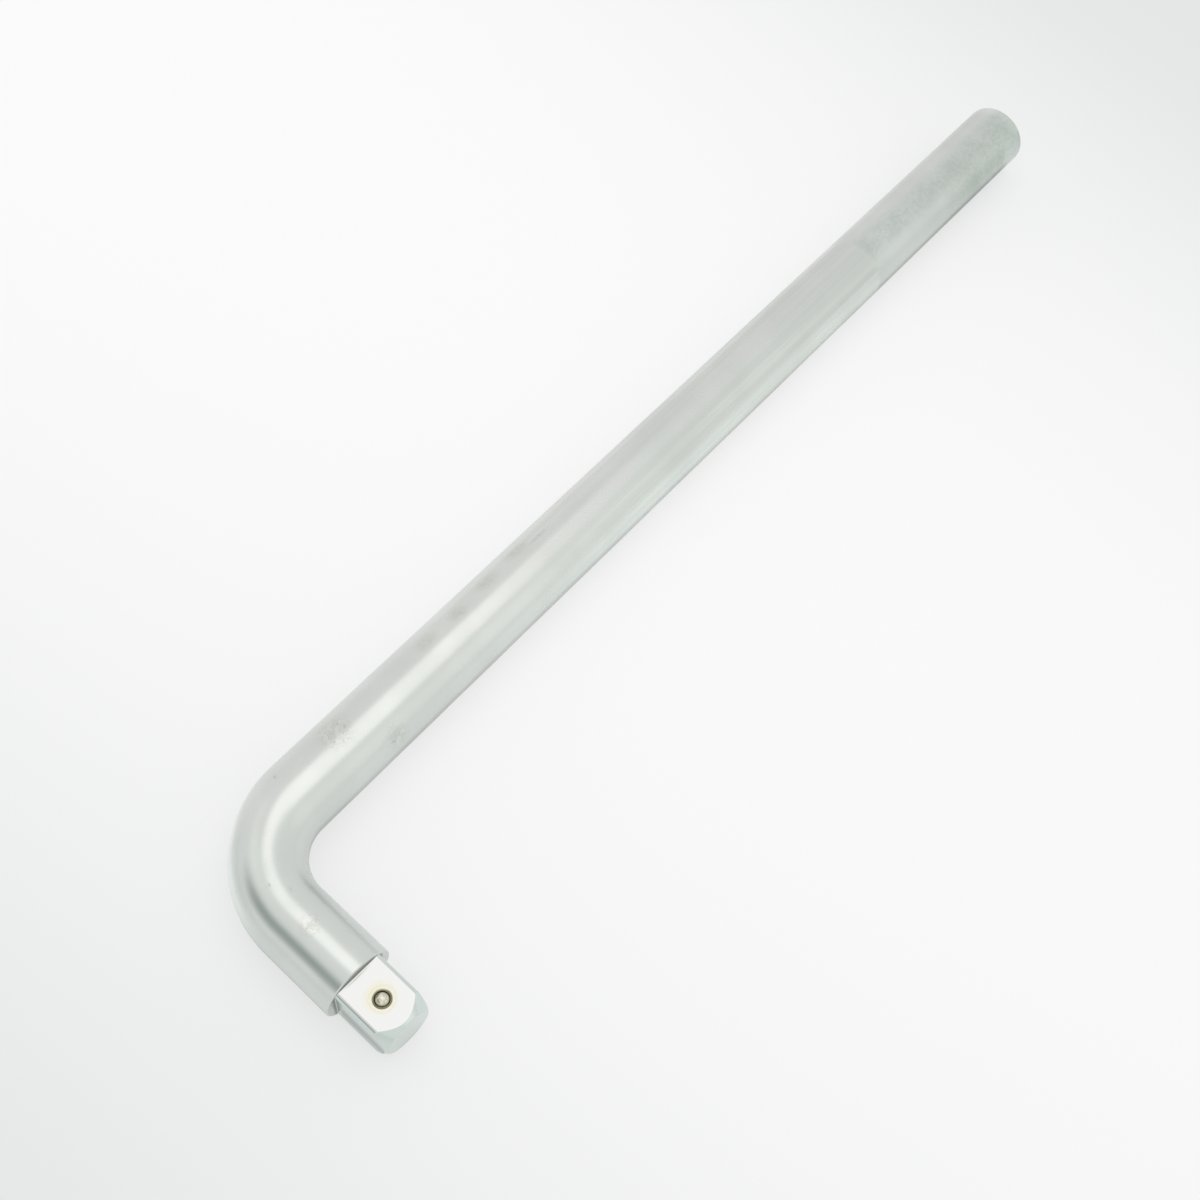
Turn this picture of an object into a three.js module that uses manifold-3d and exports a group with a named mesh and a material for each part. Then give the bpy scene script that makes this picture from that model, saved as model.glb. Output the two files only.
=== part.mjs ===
// L-handle socket wrench: a round bar bent to an L, with a square drive on its
// short leg and a spring-loaded ball that holds the socket on the drive.
//
// Millimetres. The origin is the centre of the drive's end face. The drive points
// along -Y, the handle runs off along +X, and the ball looks up along +Z.

import * as THREE from 'three';
import { mergeVertices } from 'three/addons/utils/BufferGeometryUtils.js';
import Module from 'manifold-3d';

// Driving dimensions of the bar.
const barDiameter = 27;
const handleLength = 460.5; // from the drive's axis to the tip
const shankLength = 59.5; // from the handle's axis to the shoulder
const legAngle = 92; // degrees, between the handle and the short leg
const outerBendRadius = 45;
const innerBendRadius = 16;
const tipRadius = 1.5;
const shoulderChamfer = 0.3;

// Driving dimensions of the square drive.
const driveAcrossFlats = 19.05;
const driveLength = 22.4;
const driveCornerRadius = 1.6;
const driveEndInset = 0.8; // how far the round end face stays inside the flats
const driveEndAngle = 38; // degrees, between the end's cone and the drive's axis
const driveRootFillet = 0.3;

// Driving dimensions of the detent.
const ballDiameter = 5.6;
const ballFromShoulder = 11.1;
const ballStandOut = 1;
const ballClearance = 0.3;
const holeDepth = 12;
const stakeRingDiameter = 6.4;
const stakeRingDepth = 0.35;
const lipThickness = 0.45;
const springWire = 0.55;
const springMeanDiameter = 4.2;
const springTurns = 4;
const springSeatGap = 0.3;

// A cutter runs this far past the face it opens, and a union this far inside.
const overrun = 1;

// How finely the round shapes are divided.
const barSides = 64;
const bendSteps = 22;
const tipSteps = 4;
const cornerSteps = 4;
const filletSteps = 4;
const holeSides = 40;
const ballSides = 32;
const ballRings = 20;
const springStepsPerTurn = 14;
const springSides = 8;
const springHookSteps = 4;

const barRadius = barDiameter / 2;
const driveHalf = driveAcrossFlats / 2;
const ballRadius = ballDiameter / 2;
const ballGapRadius = ballRadius + ballClearance;

const wasm = await Module();
wasm.setup();

const up = new THREE.Vector3(0, 0, 1);

// A three.js geometry as a solid that can be joined and cut.
function toSolid(geometry) {
  const bare = geometry.clone();
  bare.deleteAttribute('normal');
  bare.deleteAttribute('uv');
  const merged = mergeVertices(bare);
  return new wasm.Manifold(
    new wasm.Mesh({
      numProp: 3,
      vertProperties: new Float32Array(merged.attributes.position.array),
      triVerts: new Uint32Array(merged.index.array),
    }),
  );
}

function toGeometry(solid) {
  const mesh = solid.getMesh();
  const geometry = new THREE.BufferGeometry();
  geometry.setAttribute('position', new THREE.BufferAttribute(mesh.vertProperties, 3));
  geometry.setIndex(new THREE.BufferAttribute(mesh.triVerts, 1));
  geometry.computeVertexNormals();
  return geometry;
}

// A closed body through rings of points, all of one count, with flat ends. Each
// ring turns anticlockwise as seen from the ring that follows it.
function loft(rings) {
  const sides = rings[0].length;
  const points = rings.flat();
  const faces = [];
  for (let ring = 0; ring < rings.length - 1; ring += 1) {
    for (let side = 0; side < sides; side += 1) {
      const next = (side + 1) % sides;
      const a = ring * sides + side;
      const b = ring * sides + next;
      faces.push(a, b, b + sides, a, b + sides, a + sides);
    }
  }
  const ends = [rings[0], rings[rings.length - 1]];
  ends.forEach((ring, end) => {
    const centre = new THREE.Vector3();
    ring.forEach((point) => centre.addScaledVector(point, 1 / sides));
    const hub = points.push(centre) - 1;
    const first = end === 0 ? 0 : (rings.length - 1) * sides;
    for (let side = 0; side < sides; side += 1) {
      const here = first + side;
      const next = first + ((side + 1) % sides);
      faces.push(hub, ...(end === 0 ? [next, here] : [here, next]));
    }
  });
  const geometry = new THREE.BufferGeometry().setFromPoints(points);
  geometry.setIndex(faces);
  geometry.computeVertexNormals();
  return geometry;
}

// The two legs as unit vectors from the corner where their axes meet.
const legTurn = THREE.MathUtils.degToRad(legAngle);
const corner = new THREE.Vector3(0, driveLength + shankLength, 0);
const shortLeg = new THREE.Vector3(0, -1, 0);
const longLeg = shortLeg.clone().applyAxisAngle(up, legTurn);

// The point inside the L that lies the same distance from both axes.
function insidePoint(distance) {
  const step = distance / Math.sin(legTurn);
  return corner.clone().addScaledVector(shortLeg, step).addScaledVector(longLeg, step);
}

// One ring of the bar, an ellipse that reaches from its outer point to its inner
// one across the L and stands barRadius high, shrunk at the chamfered ends.
function barRing(outer, inner, share = 1) {
  const middle = outer.clone().add(inner).multiplyScalar(0.5);
  const across = outer.clone().sub(inner).multiplyScalar(0.5 * share);
  const ring = [];
  for (let side = 0; side < barSides; side += 1) {
    const turn = (side / barSides) * 2 * Math.PI;
    const point = middle.clone().addScaledVector(across, Math.cos(turn));
    ring.push(point.addScaledVector(up, barRadius * share * Math.sin(turn)));
  }
  return ring;
}

// A ring square to one leg, at a distance from the corner.
function legRing(leg, outward, distance, radius) {
  const middle = corner.clone().addScaledVector(leg, distance);
  const outer = middle.clone().addScaledVector(outward, barRadius);
  const inner = middle.clone().addScaledVector(outward, -barRadius);
  return barRing(outer, inner, radius / barRadius);
}

function makeBarBody() {
  const shortOutward = new THREE.Vector3(-1, 0, 0);
  const bendTurn = Math.PI - legTurn;
  const longOutward = shortOutward.clone().applyAxisAngle(up, -bendTurn);
  const outerCentre = insidePoint(outerBendRadius - barRadius);
  const innerCentre = insidePoint(innerBendRadius + barRadius);
  const rings = [
    legRing(shortLeg, shortOutward, shankLength, barRadius - shoulderChamfer),
    legRing(shortLeg, shortOutward, shankLength - shoulderChamfer, barRadius),
  ];
  for (let step = 0; step <= bendSteps; step += 1) {
    const outward = shortOutward.clone().applyAxisAngle(up, (-bendTurn * step) / bendSteps);
    const outer = outerCentre.clone().addScaledVector(outward, outerBendRadius);
    const inner = innerCentre.clone().addScaledVector(outward, innerBendRadius);
    rings.push(barRing(outer, inner));
  }
  for (let step = 0; step <= tipSteps; step += 1) {
    const turn = (step / tipSteps) * (Math.PI / 2);
    const distance = handleLength - tipRadius + tipRadius * Math.sin(turn);
    const radius = barRadius - tipRadius + tipRadius * Math.cos(turn);
    rings.push(legRing(longLeg, longOutward, distance, radius));
  }
  return loft(rings);
}

// The outline of the square, grown outwards by a little at its root fillet.
function driveRing(y, growth) {
  const radius = driveCornerRadius + growth;
  const centre = driveHalf - driveCornerRadius;
  const ring = [];
  for (let quarter = 0; quarter < 4; quarter += 1) {
    const start = (quarter * Math.PI) / 2;
    const middle = start + Math.PI / 4;
    const x = centre * Math.sign(Math.cos(middle));
    const z = centre * Math.sign(Math.sin(middle));
    for (let step = 0; step <= cornerSteps; step += 1) {
      const turn = start + ((step / cornerSteps) * Math.PI) / 2;
      ring.push(
        new THREE.Vector3(x + radius * Math.cos(turn), y, z + radius * Math.sin(turn)),
      );
    }
  }
  return ring;
}

// The square with its root fillet, cut to a turned cone at its end. The fillet runs
// out where the square's corners reach furthest, so nothing stands past the bar.
function makeDriveBody() {
  const rings = [driveRing(0, 0)];
  for (let step = 0; step <= filletSteps; step += 1) {
    const turn = (step / filletSteps) * (Math.PI / 2);
    const y = driveLength - driveRootFillet + driveRootFillet * Math.sin(turn);
    rings.push(driveRing(y, driveRootFillet * (1 - Math.cos(turn))));
  }
  rings.push(driveRing(driveLength + overrun, driveRootFillet));
  const square = toSolid(loft(rings.reverse()));
  const flatEdge = driveHalf - driveCornerRadius;
  const cornerReach = Math.hypot(flatEdge, flatEdge) + driveCornerRadius;
  const endRadius = driveHalf - driveEndInset;
  const slope = Math.tan(THREE.MathUtils.degToRad(driveEndAngle));
  const turned = [
    new THREE.Vector2(0, 0),
    new THREE.Vector2(endRadius, 0),
    new THREE.Vector2(cornerReach, (cornerReach - endRadius) / slope),
    new THREE.Vector2(cornerReach, driveLength + 2 * overrun),
    new THREE.Vector2(0, driveLength + 2 * overrun),
  ];
  return square.intersect(toSolid(new THREE.LatheGeometry(turned, barSides)));
}

// Heights of the detent, from the middle of the drive up to its flat.
const ballHeight = driveHalf + ballStandOut - ballRadius;
const lipHeight = driveHalf - stakeRingDepth;
const lipRadius = Math.sqrt(ballGapRadius ** 2 - (lipHeight - ballHeight) ** 2);
const holeFloor = driveHalf - holeDepth;
const ballPlace = driveLength - ballFromShoulder;

// The cutter for the ball's hole: a bore, the lip that keeps the ball in and the
// dished ring that staking leaves round the mouth. It turns round the ball's axis.
function makeHoleCutter() {
  const profile = [
    new THREE.Vector2(0, holeFloor),
    new THREE.Vector2(ballGapRadius, holeFloor),
    new THREE.Vector2(ballGapRadius, lipHeight - lipThickness),
    new THREE.Vector2(lipRadius, lipHeight),
    new THREE.Vector2(stakeRingDiameter / 2, driveHalf),
    new THREE.Vector2(stakeRingDiameter / 2, driveHalf + overrun),
    new THREE.Vector2(0, driveHalf + overrun),
  ];
  const cutter = new THREE.LatheGeometry(profile, holeSides);
  cutter.rotateX(Math.PI / 2);
  cutter.translate(0, ballPlace, 0);
  return toSolid(cutter);
}

function makeBar() {
  const body = toSolid(makeBarBody()).add(makeDriveBody());
  return toGeometry(body.subtract(makeHoleCutter()));
}

// The spring's wire, drawn flat: how far it has gone round, and how high. It
// stands straight for one wire diameter at each end and hooks into its turns.
function springRoute() {
  const radius = springMeanDiameter / 2;
  const floor = holeFloor + springSeatGap;
  const touch = ballGapRadius + springWire / 2;
  const ceiling = ballHeight - Math.sqrt(touch ** 2 - radius ** 2);
  const hook = springWire;
  const run = springTurns * 2 * Math.PI * radius;
  const rise = ceiling - floor - 2 * springWire - 2 * hook;
  const route = [[0, floor]];
  for (let step = 0; step <= springHookSteps; step += 1) {
    const turn = (step / springHookSteps) * (Math.PI / 2);
    route.push([hook * (1 - Math.cos(turn)), floor + springWire + hook * Math.sin(turn)]);
  }
  const steps = springTurns * springStepsPerTurn;
  for (let step = 1; step < steps; step += 1) {
    const share = step / steps;
    route.push([hook + share * run, floor + springWire + hook + share * rise]);
  }
  for (let step = springHookSteps; step >= 0; step -= 1) {
    const turn = (step / springHookSteps) * (Math.PI / 2);
    const far = 2 * hook + run - hook * (1 - Math.cos(turn));
    route.push([far, ceiling - springWire - hook * Math.sin(turn)]);
  }
  route.push([2 * hook + run, ceiling]);
  return route.map(([along, height]) => {
    const turn = along / radius;
    return new THREE.Vector3(radius * Math.cos(turn), radius * Math.sin(turn), height);
  });
}

// One unbroken tube round the spring's axis. The wire never runs towards that
// axis, so the direction away from it is square to the wire all the way.
function makeSpring() {
  const route = springRoute();
  const rings = route.map((point, index) => {
    const before = route[Math.max(index - 1, 0)];
    const after = route[Math.min(index + 1, route.length - 1)];
    const away = new THREE.Vector3(point.x, point.y, 0).normalize();
    const along = after.clone().sub(before);
    along.addScaledVector(away, -along.dot(away)).normalize();
    const side = new THREE.Vector3().crossVectors(along, away);
    const ring = [];
    for (let step = 0; step < springSides; step += 1) {
      const turn = (step / springSides) * 2 * Math.PI;
      const offset = away.clone().multiplyScalar(Math.cos(turn));
      offset.addScaledVector(side, Math.sin(turn));
      ring.push(point.clone().addScaledVector(offset, springWire / 2));
    }
    return ring;
  });
  console.log('spring: least gap to itself', leastGap(route).toFixed(2), 'mm');
  return loft(rings);
}

// The least gap between stretches of wire that are over half a turn apart.
function leastGap(route) {
  const halfTurn = (Math.PI * springMeanDiameter) / 2;
  let along = 0;
  const places = route.map((point, index) => {
    along += index === 0 ? 0 : point.distanceTo(route[index - 1]);
    return along;
  });
  let least = Infinity;
  route.forEach((point, one) => {
    route.forEach((other, two) => {
      if (places[two] - places[one] > halfTurn) {
        least = Math.min(least, point.distanceTo(other) - springWire);
      }
    });
  });
  return least;
}

const satinChrome = { color: 0xc9cecb, metalness: 1, roughness: 0.38 };
const polishedBall = { color: 0xbdb79f, metalness: 1, roughness: 0.2 };
const springSteel = { color: 0x8f9291, metalness: 1, roughness: 0.35 };

function addPiece(parent, name, geometry, finish) {
  const piece = new THREE.Mesh(geometry, new THREE.MeshStandardMaterial(finish));
  piece.name = name;
  parent.add(piece);
  return piece;
}

const wrench = new THREE.Group();
addPiece(wrench, 'l_bar', makeBar(), satinChrome);

const detent = new THREE.Group();
detent.position.set(0, ballPlace, 0);
wrench.add(detent);
const ballGeometry = new THREE.SphereGeometry(ballRadius, ballSides, ballRings);
ballGeometry.rotateX(Math.PI / 2);
const ball = addPiece(detent, 'detent_ball', ballGeometry, polishedBall);
ball.position.z = ballHeight;
addPiece(detent, 'detent_spring', makeSpring(), springSteel);

export default wrench;
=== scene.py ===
import math

import bmesh
import bpy
from mathutils import Matrix, Quaternion, Vector, noise


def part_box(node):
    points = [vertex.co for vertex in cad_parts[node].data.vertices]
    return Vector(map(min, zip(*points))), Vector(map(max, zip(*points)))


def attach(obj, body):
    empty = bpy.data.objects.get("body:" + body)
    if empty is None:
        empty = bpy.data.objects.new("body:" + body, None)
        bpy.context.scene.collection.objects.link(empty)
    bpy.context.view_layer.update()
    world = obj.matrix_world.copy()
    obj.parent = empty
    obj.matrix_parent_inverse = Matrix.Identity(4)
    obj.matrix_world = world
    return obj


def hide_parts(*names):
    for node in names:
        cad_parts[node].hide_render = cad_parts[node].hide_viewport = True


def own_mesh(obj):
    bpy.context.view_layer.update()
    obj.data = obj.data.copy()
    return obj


# L-handle socket wrench. Everything is in metres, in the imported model's own frame:
# the drive points along -Y, the handle runs off along +X and the ball looks up.
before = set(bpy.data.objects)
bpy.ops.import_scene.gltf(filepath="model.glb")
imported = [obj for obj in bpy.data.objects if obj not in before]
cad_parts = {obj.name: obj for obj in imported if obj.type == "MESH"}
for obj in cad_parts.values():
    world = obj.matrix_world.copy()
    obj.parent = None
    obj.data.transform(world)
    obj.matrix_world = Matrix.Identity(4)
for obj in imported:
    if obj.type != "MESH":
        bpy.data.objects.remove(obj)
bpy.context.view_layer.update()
print("frame loaded:", ", ".join(sorted(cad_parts)))

mm = 0.001
fullTurn = 2 * math.pi
up = Vector((0, 0, 1))

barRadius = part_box("l_bar")[1].z
ballLow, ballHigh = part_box("detent_ball")
ballRadius = (ballHigh.x - ballLow.x) / 2
ballPlace = (ballLow + ballHigh) / 2


# Mesh helpers

shortSideShare = 0.45  # how much of a short side a soft corner may take


def shares(steps):
    return [step / steps for step in range(steps + 1)]


def circleTurns(sides):
    return [fullTurn * side / sides for side in range(sides)]


def softCorner(before, point, after, reach, steps):
    # a curve that rounds one corner of an outline, kept short on short sides
    into = before - point
    out = after - point
    reach = min(reach, shortSideShare * into.length, shortSideShare * out.length)
    start = point + into.normalized() * reach
    end = point + out.normalized() * reach
    return [start.lerp(point, t).lerp(point.lerp(end, t), t) for t in shares(steps)]


def closedTube(name, rings):
    # a closed body through rings of points, with a fan at each end
    mesh = bmesh.new()
    rows = [[mesh.verts.new(point) for point in ring] for ring in rings]
    sides = len(rows[0])
    for here, there in zip(rows, rows[1:]):
        for side in range(sides):
            beside = (side + 1) % sides
            mesh.faces.new((here[side], here[beside], there[beside], there[side]))
    for ring, row, turned in ((rings[0], rows[0], True), (rings[-1], rows[-1], False)):
        hub = mesh.verts.new(sum(ring, Vector()) / sides)
        for side in range(sides):
            pair = (row[side], row[(side + 1) % sides])
            mesh.faces.new((hub, *(reversed(pair) if turned else pair)))
    return finishMesh(name, mesh)


def finishMesh(name, mesh):
    bmesh.ops.recalc_face_normals(mesh, faces=mesh.faces)
    data = bpy.data.meshes.new(name)
    mesh.to_mesh(data)
    mesh.free()
    data.shade_smooth()
    piece = bpy.data.objects.new(name, data)
    bpy.context.scene.collection.objects.link(piece)
    return piece


def lathe(name, outline, sides, place):
    # outline points are (radius, height), from the bottom up; both ends are closed flat
    rings = []
    for radius, height in outline:
        level = place + up * height
        rings.append(
            [level + Vector((radius * math.cos(t), radius * math.sin(t), 0)) for t in circleTurns(sides)]
        )
    return closedTube(name, rings)


def keepModifiers(piece):
    # the mesh as its modifiers leave it
    graph = bpy.context.evaluated_depsgraph_get()
    made = bpy.data.meshes.new_from_object(piece.evaluated_get(graph))
    piece.modifiers.clear()
    piece.data = made


# Bar with its square drive

bar = {
    "handleLength": 460.5 * mm,  # from the drive's axis to the tip
    "shankLength": 59.5 * mm,  # from the handle's axis to the shoulder
    "legAngle": math.radians(92),
    "outerBend": 45 * mm,
    "innerBend": 16 * mm,
    "rimChamfer": 0.3 * mm,
    "rimSoftness": 0.15 * mm,
    "tipRound": 1.5 * mm,
    "tipFaceShares": (0.6, 0.2),  # rings inside the tip's end face, as shares of the bar's radius
    "shankSteps": 12,
    "bendSteps": 56,
    "handleSteps": 150,
    "tipSteps": 8,
    "rippleDepth": 0.09 * mm,  # how uneven the forging is
    "rippleLength": 16 * mm,
    "rippleFadeRings": 8,  # the unevenness fades out over these rings at both ends
    "sharpAngle": math.radians(32),  # edges steeper than this stay sharp
    "flatWeight": 80,  # how much the large faces set the shading of their edges
}
drive = {
    "half": 19.05 * mm / 2,  # standard square
    "length": 22.4 * mm,
    "cornerRadius": 1.6 * mm,
    "endInset": 0.8 * mm,  # how far the round end face stays inside the flats
    "endAngle": math.radians(38),  # between the end's cone and the drive's axis
    "endSoftness": 0.3 * mm,
    "endFaceShares": (0.2, 0.6),  # rings inside the end face, as shares of its radius
    "edgeSoftness": 0.22 * mm,
    "rootSoftness": 0.6 * mm,
    "platedRoot": 0.12 * mm,  # how far the plating reaches down from the shoulder
    "flatColumns": 28,
    "cornerColumns": 8,
    "flatSteps": 12,
    "softSteps": 4,
}
detent = {
    "holeDepth": 12 * mm,
    "boreRadius": ballRadius + 0.3 * mm,
    "lipRadius": 2.6 * mm,
    "lipDrop": 0.2 * mm,  # below the flat
    "lipThickness": 0.6 * mm,
    "lipEdge": 0.2 * mm,  # its thickness at the inner edge
    "grooveRadius": 2.85 * mm,
    "grooveDrop": 0.38 * mm,
    "rimRadius": 3.12 * mm,
    "rimDrop": 0.12 * mm,
    "mouthRadius": 3.3 * mm,
    "cutOverrun": 1 * mm,
    "sides": 96,
}

flatEdge = drive["half"] - drive["cornerRadius"]
edgeTurn = math.atan2(flatEdge, drive["half"])
tipStart = bar["handleLength"] - bar["tipRound"]
bendTurn = math.pi - bar["legAngle"]
corner = Vector((0, drive["length"] + bar["shankLength"], 0))
shortLeg = Vector((0, -1, 0))
shortOutward = Vector((-1, 0, 0))
longLeg = Matrix.Rotation(bar["legAngle"], 3, up) @ shortLeg
longOutward = Matrix.Rotation(-bendTurn, 3, up) @ shortOutward


def insidePoint(distance):
    # inside the L, the same distance from both axes
    step = distance / math.sin(bar["legAngle"])
    return corner + shortLeg * step + longLeg * step


outerCentre = insidePoint(bar["outerBend"] - barRadius)
innerCentre = insidePoint(bar["innerBend"] + barRadius)


def columnTurns():
    # the columns that run the length of the bar, closer at the square's corners
    flats = drive["flatColumns"]
    corners = drive["cornerColumns"]
    gap = math.pi / 2 - 2 * edgeTurn
    turns = []
    for quarter in range(4):
        middle = quarter * math.pi / 2
        turns += [middle + edgeTurn * (2 * step / flats - 1) for step in range(flats)]
        turns += [middle + edgeTurn + gap * step / corners for step in range(corners)]
    return turns


def squareReach(turn):
    # from the middle of the drive to its rounded outline
    turn = abs((turn + math.pi / 4) % (math.pi / 2) - math.pi / 4)
    if turn <= edgeTurn:
        return drive["half"] / math.cos(turn)
    diagonal = math.hypot(flatEdge, flatEdge)
    away = math.pi / 4 - turn
    lean = diagonal * math.sin(away)
    return diagonal * math.cos(away) + math.sqrt(drive["cornerRadius"] ** 2 - lean**2)


def driveProfile(turn):
    # one column of the drive as (radius, distance from its end face)
    reach = squareReach(turn)
    length = drive["length"]
    endRadius = drive["half"] - drive["endInset"]
    coneLength = (reach - endRadius) / math.tan(drive["endAngle"])
    chamfer = bar["rimChamfer"]
    corners = [
        (Vector((endRadius, 0)), drive["endSoftness"]),
        (Vector((reach, coneLength)), drive["edgeSoftness"]),
        (Vector((reach, length)), drive["rootSoftness"]),
        (Vector((barRadius - chamfer, length)), bar["rimSoftness"]),
        (Vector((barRadius, length + chamfer)), bar["rimSoftness"]),
    ]
    face = [Vector((endRadius * share, 0)) for share in drive["endFaceShares"]]
    last = Vector((barRadius, length + 2 * chamfer))
    route = [face[-1], *(point for point, softness in corners), last]
    curves = [
        softCorner(route[index], point, route[index + 2], softness, drive["softSteps"])
        for index, (point, softness) in enumerate(corners)
    ]
    endCurve, edgeCurve, rootCurve, rimCurve, barCurve = curves
    flat = [edgeCurve[-1].lerp(rootCurve[0], share) for share in shares(drive["flatSteps"])[1:-1]]
    return face + endCurve + edgeCurve + flat + rootCurve + rimCurve + barCurve + [last]


def driveRings(turns):
    # from the end face to just past the shoulder's rim
    rings = []
    for points in zip(*(driveProfile(turn) for turn in turns)):
        places = zip(points, turns)
        rings.append([Vector((-p.x * math.cos(t), p.y, p.x * math.sin(t))) for p, t in places])
    return rings


def barRing(outer, inner, turns, scale=1):
    middle = (outer + inner) / 2
    across = (outer - inner) / 2 * scale
    height = up * barRadius * scale
    return [middle + across * math.cos(turn) + height * math.sin(turn) for turn in turns]


def legRing(leg, outward, distance, radius, turns):
    middle = corner + leg * distance
    return barRing(middle + outward * barRadius, middle - outward * barRadius, turns, radius / barRadius)


def legRings(leg, outward, start, end, steps, turns):
    # the straight part of a leg, without its first and last ring
    distances = [start + (end - start) * share for share in shares(steps)[1:-1]]
    return [legRing(leg, outward, distance, barRadius, turns) for distance in distances]


def bendRings(turns):
    rings = []
    for share in shares(bar["bendSteps"]):
        outward = Matrix.Rotation(-bendTurn * share, 3, up) @ shortOutward
        outer = outerCentre + outward * bar["outerBend"]
        inner = innerCentre + outward * bar["innerBend"]
        rings.append(barRing(outer, inner, turns))
    return rings


def tipRings(turns):
    rings = []
    for share in shares(bar["tipSteps"]):
        turn = share * math.pi / 2
        distance = tipStart + bar["tipRound"] * math.sin(turn)
        radius = barRadius - bar["tipRound"] * (1 - math.cos(turn))
        rings.append(legRing(longLeg, longOutward, distance, radius, turns))
    for share in bar["tipFaceShares"]:
        rings.append(legRing(longLeg, longOutward, bar["handleLength"], barRadius * share, turns))
    return rings


def rippled(rings):
    # pressed in a little, unevenly, as forged and plated steel is
    last = len(rings) - 1
    out = []
    for index, ring in enumerate(rings):
        centre = sum(ring, Vector()) / len(ring)
        fade = min(1, index / bar["rippleFadeRings"], (last - index) / bar["rippleFadeRings"])
        moved = []
        for point in ring:
            depth = 0.5 + 0.5 * noise.noise(point / bar["rippleLength"])  # from 0 to 1
            moved.append(point + (centre - point).normalized() * depth * fade * bar["rippleDepth"])
        out.append(moved)
    return out


def makeBar():
    turns = columnTurns()
    bendMiddle = (outerCentre + innerCentre) / 2 - corner
    shankStart = bar["shankLength"] - 2 * bar["rimChamfer"]
    bendStart = bendMiddle.dot(shortLeg)
    bendEnd = bendMiddle.dot(longLeg)
    shank = legRings(shortLeg, shortOutward, shankStart, bendStart, bar["shankSteps"], turns)
    handle = legRings(longLeg, longOutward, bendEnd, tipStart, bar["handleSteps"], turns)
    body = rippled(shank + bendRings(turns) + handle)
    piece = closedTube("bar", driveRings(turns) + body + tipRings(turns))
    cutter = makeHoleCutter()
    for finish in (satinChrome(), driveSteel()):
        piece.data.materials.append(finish)
        cutter.data.materials.append(finish)
    for face in piece.data.polygons:
        face.material_index = int(face.center.y < drive["length"] - drive["platedRoot"])
    for face in cutter.data.polygons:
        face.material_index = 1
    cut = piece.modifiers.new("ball hole", "BOOLEAN")
    cut.operation = "DIFFERENCE"
    cut.solver = "EXACT"
    cut.object = cutter
    keepModifiers(piece)
    bpy.data.objects.remove(cutter)
    piece.data.set_sharp_from_angle(angle=bar["sharpAngle"])
    weigh = piece.modifiers.new("flat faces stay flat", "WEIGHTED_NORMAL")
    weigh.keep_sharp = True
    weigh.weight = bar["flatWeight"]
    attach(piece, "handle")
    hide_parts("l_bar")
    return piece


def makeHoleCutter():
    # bore, retaining lip and the staked groove round the ball, from the bottom up
    top = drive["half"]
    lipTop = top - detent["lipDrop"]
    outline = [
        (detent["boreRadius"], top - detent["holeDepth"]),
        (detent["boreRadius"], lipTop - detent["lipThickness"]),
        (detent["lipRadius"], lipTop - detent["lipEdge"]),
        (detent["lipRadius"], lipTop),
        (detent["grooveRadius"], top - detent["grooveDrop"]),
        (detent["rimRadius"], top - detent["rimDrop"]),
        (detent["mouthRadius"], top),
        (detent["mouthRadius"], top + detent["cutOverrun"]),
    ]
    place = Vector((ballPlace.x, ballPlace.y, 0))
    return lathe("ballHoleCutter", outline, detent["sides"], place)


# Ball and spring

spring = {
    "wireRadius": 0.275 * mm,
    "meanRadius": 2.1 * mm,
    "hookRadius": 0.55 * mm,  # of the bent end that stands on the floor or under the ball
    "turns": 4,
    "seatGap": 0.3 * mm,  # clear of the hole's floor and of the ball
    "stepsPerTurn": 40,
    "hookSteps": 6,
    "sides": 14,
}
ball = {"segments": 72, "rings": 48}


def makeBall():
    mesh = bmesh.new()
    bmesh.ops.create_uvsphere(
        mesh, u_segments=ball["segments"], v_segments=ball["rings"], radius=ballRadius
    )
    bmesh.ops.translate(mesh, verts=mesh.verts, vec=ballPlace)
    piece = finishMesh("detentBall", mesh)
    piece.data.materials.append(ballSteel())
    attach(piece, "ball")
    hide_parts("detent_ball")
    return piece


def springRoute(floor, ceiling):
    # the wire drawn flat: how far round it has gone, and how high it is
    hook = spring["hookRadius"]
    run = spring["turns"] * fullTurn * spring["meanRadius"]
    rise = ceiling - floor - 4 * hook
    bend = [share * math.pi / 2 for share in shares(spring["hookSteps"])]
    route = [(0, floor)]
    for turn in bend:
        route.append((hook * (1 - math.cos(turn)), floor + hook + hook * math.sin(turn)))
    for share in shares(spring["turns"] * spring["stepsPerTurn"])[1:-1]:
        route.append((hook + share * run, floor + 2 * hook + share * rise))
    for turn in reversed(bend):
        far = 2 * hook + run - hook * (1 - math.cos(turn))
        route.append((far, ceiling - hook - hook * math.sin(turn)))
    route.append((2 * hook + run, ceiling))
    return route


def wireRings(points, centre):
    # a ring of points round each point of the wire, square to its run
    wire = spring["wireRadius"]
    rings = []
    for index, point in enumerate(points):
        before = points[max(index - 1, 0)]
        after = points[min(index + 1, len(points) - 1)]
        away = Vector((point.x, point.y, 0)).normalized()
        along = after - before
        along = (along - away * along.dot(away)).normalized()
        side = along.cross(away)
        middle = centre + point
        turns = circleTurns(spring["sides"])
        rings.append([middle + away * wire * math.cos(t) + side * wire * math.sin(t) for t in turns])
    return rings


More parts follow.
